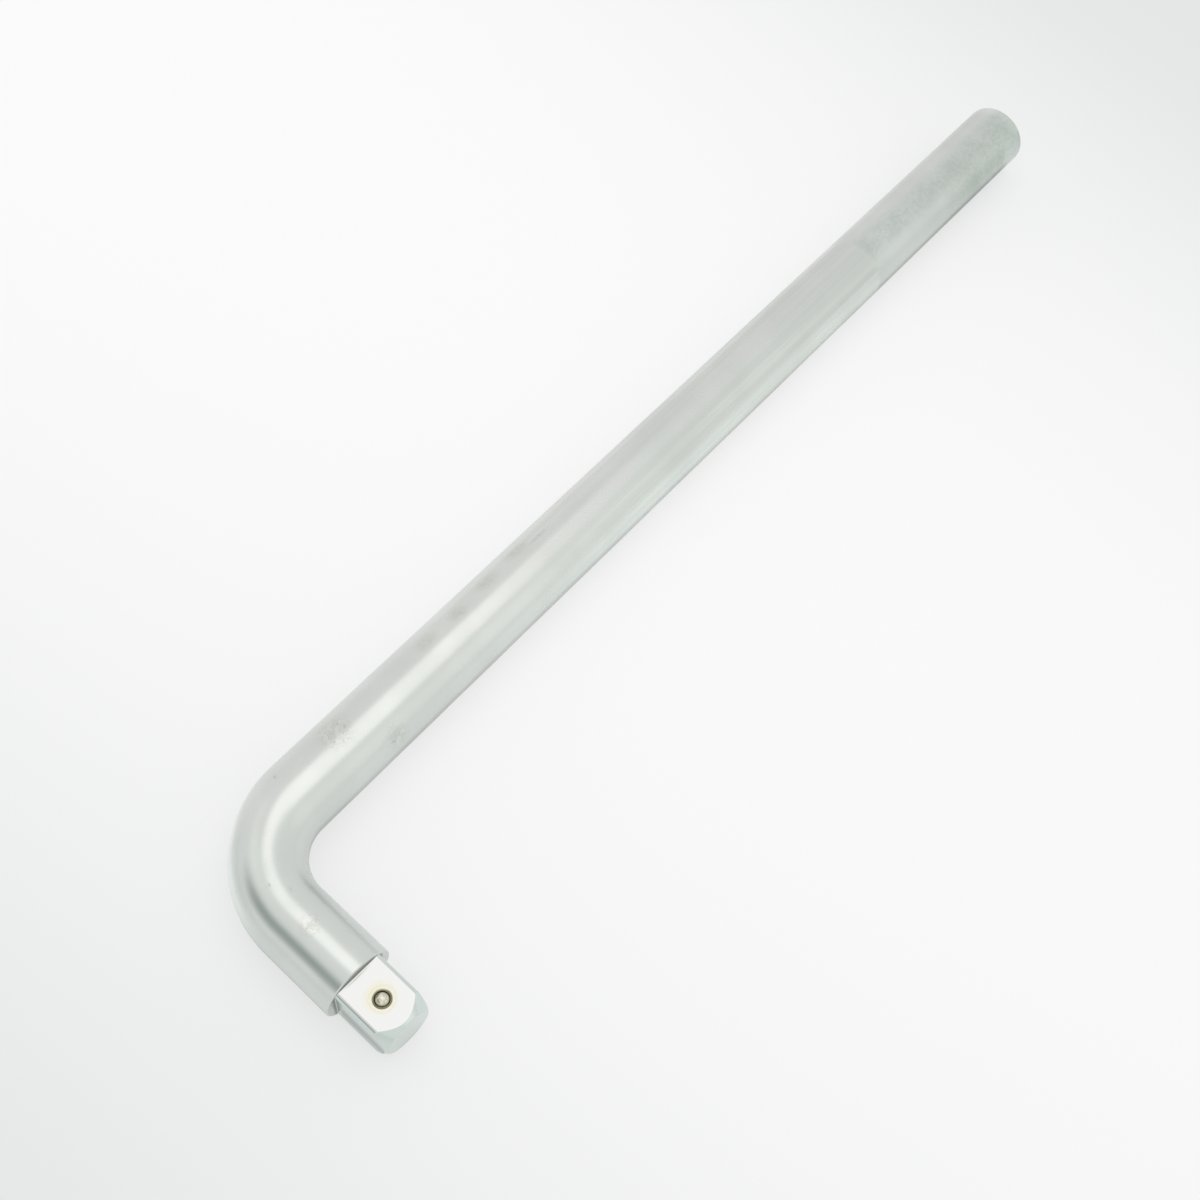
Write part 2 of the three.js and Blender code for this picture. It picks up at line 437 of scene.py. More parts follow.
def makeSpring():
    radius = spring["meanRadius"]
    floor = drive["half"] - detent["holeDepth"] + spring["seatGap"]
    apart = ballRadius + spring["seatGap"] + spring["wireRadius"]  # from the ball's middle to the wire
    ceiling = ballPlace.z - math.sqrt(apart**2 - radius**2)
    centre = Vector((ballPlace.x, ballPlace.y, 0))
    points = []
    for far, height in springRoute(floor, ceiling):
        turn = far / radius
        points.append(Vector((radius * math.cos(turn), radius * math.sin(turn), height)))
    piece = closedTube("detentSpring", wireRings(points, centre))
    piece.data.materials.append(springWire())
    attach(piece, "handle")
    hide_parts("detent_spring")
    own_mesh(piece)
    return piece


# Material helpers


def addNode(tree, kind, inputs=None, **settings):
    node = tree.nodes.new(kind)
    for name, value in settings.items():
        setattr(node, name, value)
    for name, value in (inputs or {}).items():
        if isinstance(value, bpy.types.NodeSocket):
            tree.links.new(value, node.inputs[name])
        else:
            node.inputs[name].default_value = value
    return node


def maths(tree, operation, first, second=0.0):
    return addNode(tree, "ShaderNodeMath", {0: first, 1: second}, operation=operation).outputs[0]


def product(tree, first, *others):
    for other in others:
        first = maths(tree, "MULTIPLY", first, other)
    return first


def strongest(tree, masks):
    # the largest of some masks, wherever they overlap
    most = 0.0
    for mask in masks:
        most = maths(tree, "MAXIMUM", most, mask)
    return most


def gapFrom(tree, value, middle):
    # how far a value lies from the middle, either way
    return maths(tree, "ABSOLUTE", maths(tree, "SUBTRACT", value, middle))


def vectorMaths(tree, operation, first, second=(0, 0, 0)):
    return addNode(tree, "ShaderNodeVectorMath", {0: first, 1: second}, operation=operation).outputs


def distance(tree, place, centre):
    return vectorMaths(tree, "DISTANCE", place, centre)["Value"]


def ramp(tree, value, low, high, lowOut=0.0, highOut=1.0):
    # a smooth step from lowOut to highOut
    inputs = {"Value": value, "From Min": low, "From Max": high, "To Min": lowOut, "To Max": highOut}
    return addNode(tree, "ShaderNodeMapRange", inputs, interpolation_type="SMOOTHSTEP").outputs[0]


def cloudNoise(tree, place, size, detail):
    # smooth noise from 0 to 1, in patches of about this size
    scale = maths(tree, "DIVIDE", 1.0, size)
    inputs = {"Vector": place, "Scale": scale, "Detail": detail}
    return addNode(tree, "ShaderNodeTexNoise", inputs).outputs["Fac"]


def modelPlace(tree):
    # a point's place in the model's own frame: whole, then X, Y and Z
    here = addNode(tree, "ShaderNodeTexCoord").outputs["Object"]
    return here, *addNode(tree, "ShaderNodeSeparateXYZ", {0: here}).outputs


def blendColour(tree, share, first, second, way="MIX"):
    inputs = {0: share, 6: first, 7: second}  # 6 and 7 are the node's two colours
    return addNode(tree, "ShaderNodeMix", inputs, data_type="RGBA", blend_type=way).outputs[2]


def tinted(tree, colour, tints):
    # the colour times each tint, where that tint's mask is 1
    for mask, tint in tints:
        colour = blendColour(tree, mask, colour, tint, "MULTIPLY")
    return colour


def raised(tree, value, rises):
    # the value, raised by as much as each mask lets through
    for mask, rise in rises:
        value = maths(tree, "ADD", value, maths(tree, "MULTIPLY", mask, rise))
    return value


def addBump(tree, shader, height):
    bump = addNode(tree, "ShaderNodeBump", {"Height": height, "Distance": 1.0, "Strength": 1.0})
    tree.links.new(bump.outputs[0], shader.inputs["Normal"])


def newMaterial(name, metallic):
    material = bpy.data.materials.new(name)
    material.use_nodes = True
    tree = material.node_tree
    shader = tree.nodes["Principled BSDF"]
    shader.inputs["Metallic"].default_value = metallic
    return material, tree, shader


# Effects that the materials share. In all that follows, a fade is a pair of values:
# where a mask is still 0 and where it is full.

floatSocket = "NodeSocketFloat"
vectorSocket = "NodeSocketVector"

blotch = {"fade": (0.3, 0.7)}
streak = {"detail": 2.0, "fade": (0.32, 0.68)}
scratch = {
    "edgeFade": (1.0, 0.2),  # as shares of the radius
    "detail": 1.5,
    "level": 0.5,  # the scratches follow this level of the noise
    "lineFade": (0.035, 0.005),
    "stainFade": (0.5, 0.66),
    "stainStrength": 0.45,
}
mottle = {
    "edgeFade": (1.0, 0.0),
    "size": 1.8 * mm,
    "detail": 2.0,
    "fade": (0.3, 0.7),
    "least": 0.45,
}
# where the painted shade round the root of the square lies
rootShading = {
    "shoulderFade": (drive["length"] + 0.16 * mm, drive["length"] + 0.08 * mm),
    "rimFade": (barRadius - 0.3 * mm, barRadius - 1.1 * mm),  # from the drive's axis
    "diagonalFade": (-0.5 * mm, 0.3 * mm),  # past the diagonals of the square
    "lineFade": (drive["half"] + 1.5 * mm, drive["half"] + 0.6 * mm),
}


def effectGroup(name, inputs, outputs):
    # a shared effect: named inputs with their usual values, and named outputs
    tree = bpy.data.node_groups.new(name, "ShaderNodeTree")
    for label, kind, value in inputs:
        socket = tree.interface.new_socket(label, in_out="INPUT", socket_type=kind)
        if value is not None:
            socket.default_value = value
    for label, kind in outputs:
        tree.interface.new_socket(label, in_out="OUTPUT", socket_type=kind)
    return tree, tree.nodes.new("NodeGroupInput").outputs, tree.nodes.new("NodeGroupOutput").inputs


def useEffect(tree, group, place, settings=None):
    # a shared effect at a place, with one material's own values
    inputs = {"Place": place, **(settings or {})}
    return addNode(tree, "ShaderNodeGroup", inputs, node_tree=group).outputs[0]


def makeHandleSpace():
    # places measured from the corner of the L: along the handle, across it, up
    labels = ("Along", "Across", "Height")
    outputs = [("Place", vectorSocket), *((label, floatSocket) for label in labels)]
    tree, _, out = effectGroup("handleSpace", [], outputs)
    lean = bar["legAngle"] - math.pi / 2
    here = addNode(tree, "ShaderNodeTexCoord")
    inputs = {"Vector": here.outputs["Object"], "Location": corner, "Rotation": (0, 0, lean)}
    turned = addNode(tree, "ShaderNodeMapping", inputs, vector_type="TEXTURE").outputs[0]
    split = addNode(tree, "ShaderNodeSeparateXYZ", {0: turned})
    tree.links.new(turned, out["Place"])
    for label, part in zip(labels, split.outputs):
        tree.links.new(part, out[label])
    return tree


def makeBlotches():
    # soft uneven patches
    sockets = [("Place", vectorSocket, None), ("Size", floatSocket, 10 * mm), ("Detail", floatSocket, 3.0)]
    tree, given, out = effectGroup("blotches", sockets, [("Mask", floatSocket)])
    cloud = cloudNoise(tree, given["Place"], given["Size"], given["Detail"])
    tree.links.new(ramp(tree, cloud, *blotch["fade"]), out["Mask"])
    return tree


def makeGrain():
    # fine unevenness for a bump, up to Depth high
    sockets = [
        ("Place", vectorSocket, None),
        ("Size", floatSocket, 0.4 * mm),
        ("Detail", floatSocket, 2.0),
        ("Depth", floatSocket, 0.002 * mm),
    ]
    tree, given, out = effectGroup("grain", sockets, [("Height", floatSocket)])
    cloud = cloudNoise(tree, given["Place"], given["Size"], given["Detail"])
    tree.links.new(product(tree, cloud, given["Depth"]), out["Height"])
    return tree


def makeStreaks():
    # lines that run along the handle, each Width across and about Length long
    sockets = [
        ("Place", vectorSocket, None),
        ("Width", floatSocket, 1.5 * mm),
        ("Length", floatSocket, 90 * mm),
    ]
    tree, given, out = effectGroup("streaks", sockets, [("Mask", floatSocket)])
    along = maths(tree, "DIVIDE", 1.0, given["Length"])
    across = maths(tree, "DIVIDE", 1.0, given["Width"])
    scale = addNode(tree, "ShaderNodeCombineXYZ", {"X": along, "Y": across, "Z": across}).outputs[0]
    drawn = vectorMaths(tree, "MULTIPLY", given["Place"], scale)["Vector"]
    lines = cloudNoise(tree, drawn, 1.0, streak["detail"])
    tree.links.new(ramp(tree, lines, *streak["fade"]), out["Mask"])
    return tree


def makeScuff():
    # a patch of thin curved scratches and stains round Centre, fading out at Radius
    sockets = [
        ("Place", vectorSocket, None),
        ("Centre", vectorSocket, None),
        ("Radius", floatSocket, 3 * mm),
        ("Grain", floatSocket, 2.2 * mm),
    ]
    tree, given, out = effectGroup("scuff", sockets, [("Mask", floatSocket)])
    gap = maths(tree, "DIVIDE", distance(tree, given["Place"], given["Centre"]), given["Radius"])
    near = ramp(tree, gap, *scratch["edgeFade"])
    cloud = cloudNoise(tree, given["Place"], given["Grain"], scratch["detail"])
    scratches = ramp(tree, gapFrom(tree, cloud, scratch["level"]), *scratch["lineFade"])
    stains = ramp(tree, cloud, *scratch["stainFade"], 0.0, scratch["stainStrength"])
    marks = maths(tree, "MAXIMUM", scratches, stains)
    tree.links.new(product(tree, near, marks), out["Mask"])
    return tree


def makeSmudge():
    # one soft mottled spot round Centre, Stretch times longer along the handle than Radius
    sockets = [
        ("Place", vectorSocket, None),
        ("Centre", vectorSocket, None),
        ("Radius", floatSocket, 2.5 * mm),
        ("Stretch", floatSocket, 1.0),
    ]
    tree, given, out = effectGroup("smudge", sockets, [("Mask", floatSocket)])
    gap = vectorMaths(tree, "SUBTRACT", given["Place"], given["Centre"])["Vector"]
    sides = {"X": given["Stretch"], "Y": 1.0, "Z": 1.0}
    longer = addNode(tree, "ShaderNodeCombineXYZ", sides).outputs[0]
    gap = vectorMaths(tree, "DIVIDE", gap, longer)["Vector"]
    gap = maths(tree, "DIVIDE", vectorMaths(tree, "LENGTH", gap)["Value"], given["Radius"])
    near = ramp(tree, gap, *mottle["edgeFade"])
    cloud = cloudNoise(tree, given["Place"], mottle["size"], mottle["detail"])
    mottled = ramp(tree, cloud, *mottle["fade"], mottle["least"], 1.0)
    tree.links.new(product(tree, near, mottled), out["Mask"])
    return tree


def makeRootZone():
    # painted shade on the shoulder beside the top and bottom flats, and in a thin line beside the others
    tree, given, out = effectGroup("rootZone", [("Place", vectorSocket, None)], [("Mask", floatSocket)])
    split = addNode(tree, "ShaderNodeSeparateXYZ", {0: given["Place"]}).outputs
    flat = vectorMaths(tree, "MULTIPLY", given["Place"], (1, 0, 1))["Vector"]
    fromAxis = vectorMaths(tree, "LENGTH", flat)["Value"]
    low = ramp(tree, split["Y"], *rootShading["shoulderFade"])
    inside = ramp(tree, fromAxis, *rootShading["rimFade"])
    aside = maths(tree, "ABSOLUTE", split["X"])
    height = maths(tree, "ABSOLUTE", split["Z"])
    topped = ramp(tree, maths(tree, "SUBTRACT", height, aside), *rootShading["diagonalFade"])
    beside = ramp(tree, aside, *rootShading["lineFade"])
    mask = product(tree, low, inside, maths(tree, "MAXIMUM", topped, beside))
    tree.links.new(mask, out["Mask"])
    return tree


handleSpace = makeHandleSpace()
blotches = makeBlotches()
grain = makeGrain()
streaks = makeStreaks()
scuff = makeScuff()
smudge = makeSmudge()
rootZone = makeRootZone()
print("shared finishes made")


# Satin chrome. Along is measured from the corner of the L towards the tip, and
# across from the handle's axis, with the inside of the L below zero.

chrome = {
    "colour": (0.688, 0.7, 0.675, 1),
    "shade": (0.6, 0.62, 0.595, 1),  # thinner, dirtier plating
    "shadeStrength": 0.5,
    "patches": {"Size": 26 * mm, "Detail": 3.0},
    "patchRoughness": 0.05,
    "roughness": 0.24,
    "grain": {"Size": 0.22 * mm, "Detail": 2.0, "Depth": 0.004 * mm},
    # painted reflection tint: the inside of the L a little greener, the outside a little pinker
    "innerReflectionTint": (0.978, 1.0, 1.0, 1),
    "outerReflectionTint": (0.998, 0.988, 0.996, 1),
    "tintFade": (-7 * mm, 7 * mm),  # across, from the inner tint to the outer one
    # the drawn part of the handle, up to the grip
    "streakFade": (120 * mm, 180 * mm),  # along
    "streaks": {"Width": 1.8 * mm, "Length": 120 * mm},
    "streakStrength": 0.45,
    "streakRoughness": 0.12,
    "streakShade": (0.88, 0.89, 0.88, 1),
    # partly a duller drawn finish, partly painted shade where the overhead light falls off
    "drawnDullingAndShade": (0.97, 0.97, 0.97, 1),
    "drawnFade": (120 * mm, 350.4 * mm),  # along
    "drawnPaintedReflection": (1.11, 1.12, 1.11, 1),  # painted reflection of the floor: a brighter stripe on the inside of the L
    "drawnInnerFade": (-10 * mm, -11.8 * mm),  # across
    "drawnLineShade": (0.92, 0.925, 0.92, 1),  # and a darker line beside it
    "drawnLine": -9.7 * mm,
    "drawnLineFade": (1.5 * mm, 0.2 * mm),  # away from the line
    # the grip
    "gripFade": (348.9 * mm, 351.9 * mm),  # along
    "gripShade": (0.95, 0.96, 0.955, 1),
    "gripWorn": (0.82, 0.855, 0.84, 1),
    "wornMiddle": -2 * mm,
    "wornFade": (9 * mm, 1 * mm),  # away from the worn middle
    "speckle": {"Size": 1.6 * mm, "Detail": 5.0},
    "clouds": {"Size": 14 * mm, "Detail": 4.0},
    "mottleFade": (0.2, 1.8),  # of the speckle and the clouds together
    "mottleStrength": (0.3, 1.0),  # least and most
    "gripInnerShade": (0.92, 0.925, 0.92, 1),
    "innerFade": (5 * mm, -5 * mm),  # across
    "innerStart": (385 * mm, 430 * mm),  # along
    "gripRoughness": 0.33,
    "gripGrain": {"Size": 0.5 * mm, "Detail": 3.0, "Depth": 0.012 * mm},
    # the side that lies on the bench, darker with painted shade for the contact shadow it mirrors
    "underPaintedShade": (0.77, 0.78, 0.775, 1),
    "gripUnderPaintedShade": (0.6, 0.62, 0.61, 1),
    "underGripFade": (330.4 * mm, 425 * mm),  # along, from the one shade to the other
    "underFade": (2.5 * mm, -1 * mm),  # height
    "underStart": (drive["length"] + 0.1 * mm, drive["length"] + 1 * mm),  # on the short leg
    "underEnd": (452 * mm, 446 * mm),  # along
    # the outside of the bend, lightened by a painted reflection of the bright floor
    "bendPaintedReflection": (1.27, 1.28, 1.28, 1),
    "bendFades": ((30 * mm, 4 * mm), (52 * mm, 74 * mm), (9 * mm, 5 * mm)),  # X, Y and Z
    "bendOuterFade": (38 * mm, 43 * mm),  # from the bend's outer centre
    # the tip, pale at its inner edge and just before the rim with a painted reflection of the bright floor
    "tipPaintedReflection": (1.18, 1.18, 1.18, 1),
    "tipInnerAlong": (443 * mm, 450 * mm),
    "tipInnerAcross": (-8.5 * mm, -12.5 * mm),
    "tipRimFade": (453 * mm, 459 * mm),
    "tipRimStrength": 0.6,
    "rootPaintedShade": (0.27, 0.28, 0.24, 1),  # painted shade round the root of the square
    # scuffs on the handle, in millimetres: along, across, radius
    "scuffs": [
        (51.5, 3.0, 9.0),
        (66.2, -11.5, 6.5),
        (27.0, 6.2, 1.5),
        (454.0, 1.4, 1.2),
    ],
    # scuffs on the bend and the short leg, in millimetres: down from the corner, across, radius
    "lowScuffs": [(19.8, 1.0, 1.7), (25.3, 3.8, 1.5), (38.5, 0.2, 5.0)],
    "scuffShade": (0.77, 0.76, 0.73, 1),
    "scuffRoughness": 0.1,
    # dark smudges on the handle: along, across and radius in millimetres, and how many
    # times longer than wide
    "smudges": [
        (97.0, 4.2, 4.4, 1.6),
        (112.5, 4.0, 4.6, 1.3),
        (129.0, 5.4, 4.2, 1.9),
        (146.0, 6.4, 3.8, 2.2),
        (155.5, 4.4, 1.3, 6.0),
    ],
    "smudgeShade": (0.86, 0.85, 0.815, 1),
}


def drawnTints(tree, space, bare, lined, drawn):
    # the drawn part is darker, partly a duller finish and partly painted shade where the overhead light
    # falls off, with a painted bright stripe and a dark line on the inside of the L
    dulledAndShaded = product(tree, ramp(tree, space["Along"], *chrome["drawnFade"]), bare)
    stripe = product(tree, drawn, ramp(tree, space["Across"], *chrome["drawnInnerFade"]))
    aside = gapFrom(tree, space["Across"], chrome["drawnLine"])
    line = product(tree, dulledAndShaded, ramp(tree, aside, *chrome["drawnLineFade"]))
    return [
        (lined, chrome["streakShade"]),
        (dulledAndShaded, chrome["drawnDullingAndShade"]),
        # painted reflection: the bright stripe
        (stripe, chrome["drawnPaintedReflection"]),
        (line, chrome["drawnLineShade"]),
    ]


def gripTints(tree, space, grip):
    # the grip is worn along its middle, and darker near the tip on the inside of the L
    speckle = useEffect(tree, blotches, space["Place"], chrome["speckle"])
    clouds = useEffect(tree, blotches, space["Place"], chrome["clouds"])
    mixed = maths(tree, "ADD", speckle, clouds)
    mottled = ramp(tree, mixed, *chrome["mottleFade"], *chrome["mottleStrength"])
    middle = ramp(tree, gapFrom(tree, space["Across"], chrome["wornMiddle"]), *chrome["wornFade"])
    inner = ramp(tree, space["Across"], *chrome["innerFade"])
    inner = product(tree, inner, ramp(tree, space["Along"], *chrome["innerStart"]))
    worn = product(tree, maths(tree, "MAXIMUM", middle, inner), mottled, grip)
    return [
        (grip, chrome["gripShade"]),
        (worn, chrome["gripWorn"]),
        (product(tree, inner, grip), chrome["gripInnerShade"]),
    ]


def paintedTintAndUnderShade(tree, space, y):
    # the painted reflection tint across the handle, and painted shade on the side that lies on the bench
    aside = ramp(tree, space["Across"], *chrome["tintFade"])
    # painted shade: darker on the underside
    low = product(
        tree,
        ramp(tree, space["Height"], *chrome["underFade"]),
        ramp(tree, y, *chrome["underStart"]),
        ramp(tree, space["Along"], *chrome["underEnd"]),
    )
    toTip = ramp(tree, space["Along"], *chrome["underGripFade"])
    return [
        (1.0, blendColour(tree, aside, chrome["innerReflectionTint"], chrome["outerReflectionTint"])),
        (low, blendColour(tree, toTip, chrome["underPaintedShade"], chrome["gripUnderPaintedShade"])),
    ]


def bendPaintedLightMask(tree, here, *parts):
    # where the painted reflection lies: the upper part of the bend's outside
    fades = [ramp(tree, part, *fade) for part, fade in zip(parts, chrome["bendFades"])]
    apart = ramp(tree, distance(tree, here, outerCentre), *chrome["bendOuterFade"])
    return product(tree, *fades, apart)


def tipPaintedLightMask(tree, space):
    # painted reflection: pale at the inner edge and just before the rim
    inner = product(
        tree,
        ramp(tree, space["Along"], *chrome["tipInnerAlong"]),
        ramp(tree, space["Across"], *chrome["tipInnerAcross"]),
    )
    rim = ramp(tree, space["Along"], *chrome["tipRimFade"], 0.0, chrome["tipRimStrength"])
    return maths(tree, "MAXIMUM", inner, rim)


def barTop(across):
    # how high the bar's upper side is at a distance from its axis
    return math.sqrt(barRadius**2 - across**2)


def scuffMask(tree, place, here):
    masks = []
    for mark in chrome["scuffs"]:
        along, across, radius = (size * mm for size in mark)
        settings = {"Centre": (along, across, barTop(across)), "Radius": radius}
        masks.append(useEffect(tree, scuff, place, settings))
    for mark in chrome["lowScuffs"]:
        below, across, radius = (size * mm for size in mark)
        settings = {"Centre": (across, corner.y - below, barTop(across)), "Radius": radius}
        masks.append(useEffect(tree, scuff, here, settings))
    return strongest(tree, masks)


def smudgeMask(tree, place):
    masks = []
    for *mark, stretch in chrome["smudges"]:
        along, across, radius = (size * mm for size in mark)
        centre = (along, across, barTop(across))
        settings = {"Centre": centre, "Radius": radius, "Stretch": stretch}
        masks.append(useEffect(tree, smudge, place, settings))
    return strongest(tree, masks)


def satinChrome():
    material, tree, shader = newMaterial("satinChrome", 1.0)
    space = addNode(tree, "ShaderNodeGroup", node_tree=handleSpace).outputs
    place = space["Place"]
    here, x, y, z = modelPlace(tree)
    grip = ramp(tree, space["Along"], *chrome["gripFade"])
    bare = maths(tree, "SUBTRACT", 1.0, grip)
    drawn = product(tree, ramp(tree, space["Along"], *chrome["streakFade"]), bare)
    patches = useEffect(tree, blotches, place, chrome["patches"])
    lines = useEffect(tree, streaks, place, chrome["streaks"])
    lined = product(tree, lines, drawn, chrome["streakStrength"])
    scuffed = scuffMask(tree, place, here)

    thin = product(tree, patches, chrome["shadeStrength"])
    colour = blendColour(tree, thin, chrome["colour"], chrome["shade"])
    # painted shade and a painted reflection on the drawn part
    tints = drawnTints(tree, space, bare, lined, drawn)
    tints += gripTints(tree, space, grip)
    # painted reflection tint across the handle and painted shade on its underside
    tints += paintedTintAndUnderShade(tree, space, y)
    tints += [
        # painted reflection on the outside of the bend
        (bendPaintedLightMask(tree, here, x, y, z), chrome["bendPaintedReflection"]),
        (scuffed, chrome["scuffShade"]),
        (smudgeMask(tree, place), chrome["smudgeShade"]),
        # painted reflection at the tip
        (tipPaintedLightMask(tree, space), chrome["tipPaintedReflection"]),
    ]
    colour = tinted(tree, colour, tints)
    # painted shade round the root of the square
    colour = blendColour(tree, useEffect(tree, rootZone, here), colour, chrome["rootPaintedShade"])
    tree.links.new(colour, shader.inputs["Base Color"])

    rises = [
        (patches, chrome["patchRoughness"]),
        (lined, chrome["streakRoughness"]),
        (scuffed, chrome["scuffRoughness"]),
        (grip, chrome["gripRoughness"] - chrome["roughness"]),
    ]
    tree.links.new(raised(tree, chrome["roughness"], rises), shader.inputs["Roughness"])
    fine = useEffect(tree, grain, place, chrome["grain"])
    coarse = product(tree, useEffect(tree, grain, place, chrome["gripGrain"]), grip)
    addBump(tree, shader, maths(tree, "ADD", fine, coarse))
    return material


# Ground steel of the drive

polish = {
    # on the flats that face up and down: partly a ground finish, partly painted shade under the overhead
    # light
    "colour": (0.636, 0.652, 0.647, 1),
    "platedColour": (0.645, 0.708, 0.681, 1),  # everywhere but on the two ground flats
    "facingFade": (0.86, 0.95),  # of the normal, for a face that looks squarely that way
    "roughness": 0.17,
    "grain": {"Size": 0.4 * mm, "Detail": 2.0, "Depth": 0.002 * mm},
    # painted shade: darker towards the bottom, for the shadow under the drive that it mirrors
    "underPaintedShade": (0.84, 0.845, 0.85, 1),
    "underFade": (-4 * mm, -9 * mm),  # height
    "sidePaintedShade": (0.45, 0.48, 0.46, 1),  # painted shade: a dark mirrored line along the middle of each side
    "sideLine": -1 * mm,  # its height
    "sideFade": (7.5 * mm, 0.5 * mm),  # away from the line
    "sideEnd": (drive["length"] - 0.5 * mm, drive["length"] - 3.5 * mm),
    # marks round the ball, made uneven by blotches: where these are full they add the
    # uneven lengths to a point's distance from the ball
    "blotches": {"Size": 2.4 * mm, "Detail": 3.0},
    "haloColour": (1.0, 0.96, 0.82, 1),
    "haloFade": (6.4 * mm, 2.6 * mm),
    "haloShift": 0.7 * mm,  # towards the shoulder
    "haloUneven": -0.9 * mm,
    "stainColour": (0.97, 0.88, 0.74, 1),
    "stainRadius": 4.5 * mm,
    "stainWidth": 0.45 * mm,
    "stainUneven": 0.5 * mm,
    "stainStrength": 0.55,
    "grimeColour": (0.4, 0.37, 0.26, 1),
    "grimeFade": (3.15 * mm, 2.9 * mm),
    "grimeRoughness": 0.3,
}


def ballMarks(tree, here):
    # halo, stain and grime round the ball's hole
    mouth = Vector((ballPlace.x, ballPlace.y, drive["half"]))
    shifted = mouth - shortLeg * polish["haloShift"]
    uneven = useEffect(tree, blotches, here, polish["blotches"])
    far = distance(tree, here, mouth)
    wide = raised(tree, distance(tree, here, shifted), [(uneven, polish["haloUneven"])])
    ring = gapFrom(tree, raised(tree, far, [(uneven, polish["stainUneven"])]), polish["stainRadius"])
    halo = ramp(tree, wide, *polish["haloFade"])
    stain = ramp(tree, ring, polish["stainWidth"], 0.0, 0.0, polish["stainStrength"])
    grime = ramp(tree, far, *polish["grimeFade"])
    return halo, stain, grime


def driveSteel():
    material, tree, shader = newMaterial("driveSteel", 1.0)
    here, _, y, z = modelPlace(tree)
    normal = addNode(tree, "ShaderNodeTexCoord").outputs["Normal"]
    facing = addNode(tree, "ShaderNodeSeparateXYZ", {0: normal}).outputs
    level = ramp(tree, maths(tree, "ABSOLUTE", facing["Z"]), *polish["facingFade"])
    sideways = ramp(tree, maths(tree, "ABSOLUTE", facing["X"]), *polish["facingFade"])
    halo, stain, grime = ballMarks(tree, here)
    # painted shade along the middle of each side
    sideShading = product(
        tree,
        ramp(tree, gapFrom(tree, z, polish["sideLine"]), *polish["sideFade"]),
        sideways,
        ramp(tree, y, *polish["sideEnd"]),
    )
    tints = [
        # painted shade towards the bottom
        (ramp(tree, z, *polish["underFade"]), polish["underPaintedShade"]),
        (sideShading, polish["sidePaintedShade"]),
        (halo, polish["haloColour"]),
        (stain, polish["stainColour"]),
    ]
    # darker flats: partly ground finish, partly painted shade
    colour = blendColour(tree, level, polish["platedColour"], polish["colour"])
    colour = blendColour(tree, grime, tinted(tree, colour, tints), polish["grimeColour"])
    tree.links.new(colour, shader.inputs["Base Color"])
    rough = raised(tree, polish["roughness"], [(grime, polish["grimeRoughness"])])
    tree.links.new(rough, shader.inputs["Roughness"])
    addBump(tree, shader, useEffect(tree, grain, here, polish["grain"]))
    return material


# Steel of the ball and of the spring's wire

ballFinish = {
    "colour": (0.8, 0.77, 0.67, 1),
    "stain": (0.3, 0.27, 0.17, 1),
    "stainFade": (1.5 * mm, 2.35 * mm),  # from the hole's axis
    "spots": {"Size": 1.1 * mm, "Detail": 3.0},
    "spotStrength": 0.55,
    "roughness": 0.12,
    "stainRoughness": 0.25,
}
wireFinish = {
    "colour": (0.36, 0.36, 0.36, 1),
    "stain": (0.24, 0.23, 0.21, 1),
    "spots": {"Size": 0.6 * mm, "Detail": 3.0},
    "roughness": (0.3, 0.45),  # clean and stained
}


def ballSteel():
    material, tree, shader = newMaterial("ballSteel", 1.0)
    here, *_ = modelPlace(tree)
    flat = vectorMaths(tree, "MULTIPLY", here, (1, 1, 0))["Vector"]
    fromAxis = distance(tree, flat, (ballPlace.x, ballPlace.y, 0))
    spots = useEffect(tree, blotches, here, ballFinish["spots"])
    spots = product(tree, spots, ballFinish["spotStrength"])
    dirt = maths(tree, "MAXIMUM", ramp(tree, fromAxis, *ballFinish["stainFade"]), spots)
    colour = blendColour(tree, dirt, ballFinish["colour"], ballFinish["stain"])
    tree.links.new(colour, shader.inputs["Base Color"])
    rough = raised(tree, ballFinish["roughness"], [(dirt, ballFinish["stainRoughness"])])
    tree.links.new(rough, shader.inputs["Roughness"])
    return material


def springWire():
    material, tree, shader = newMaterial("springWire", 1.0)
    here, *_ = modelPlace(tree)
    spots = useEffect(tree, blotches, here, wireFinish["spots"])
    colour = blendColour(tree, spots, wireFinish["colour"], wireFinish["stain"])
    tree.links.new(colour, shader.inputs["Base Color"])
    rough = ramp(tree, spots, 0.0, 1.0, *wireFinish["roughness"])
    tree.links.new(rough, shader.inputs["Roughness"])
    return material


makeBar()
print("bar and drive made")
makeBall()
makeSpring()
print("ball and spring made")


# Floor, light and camera

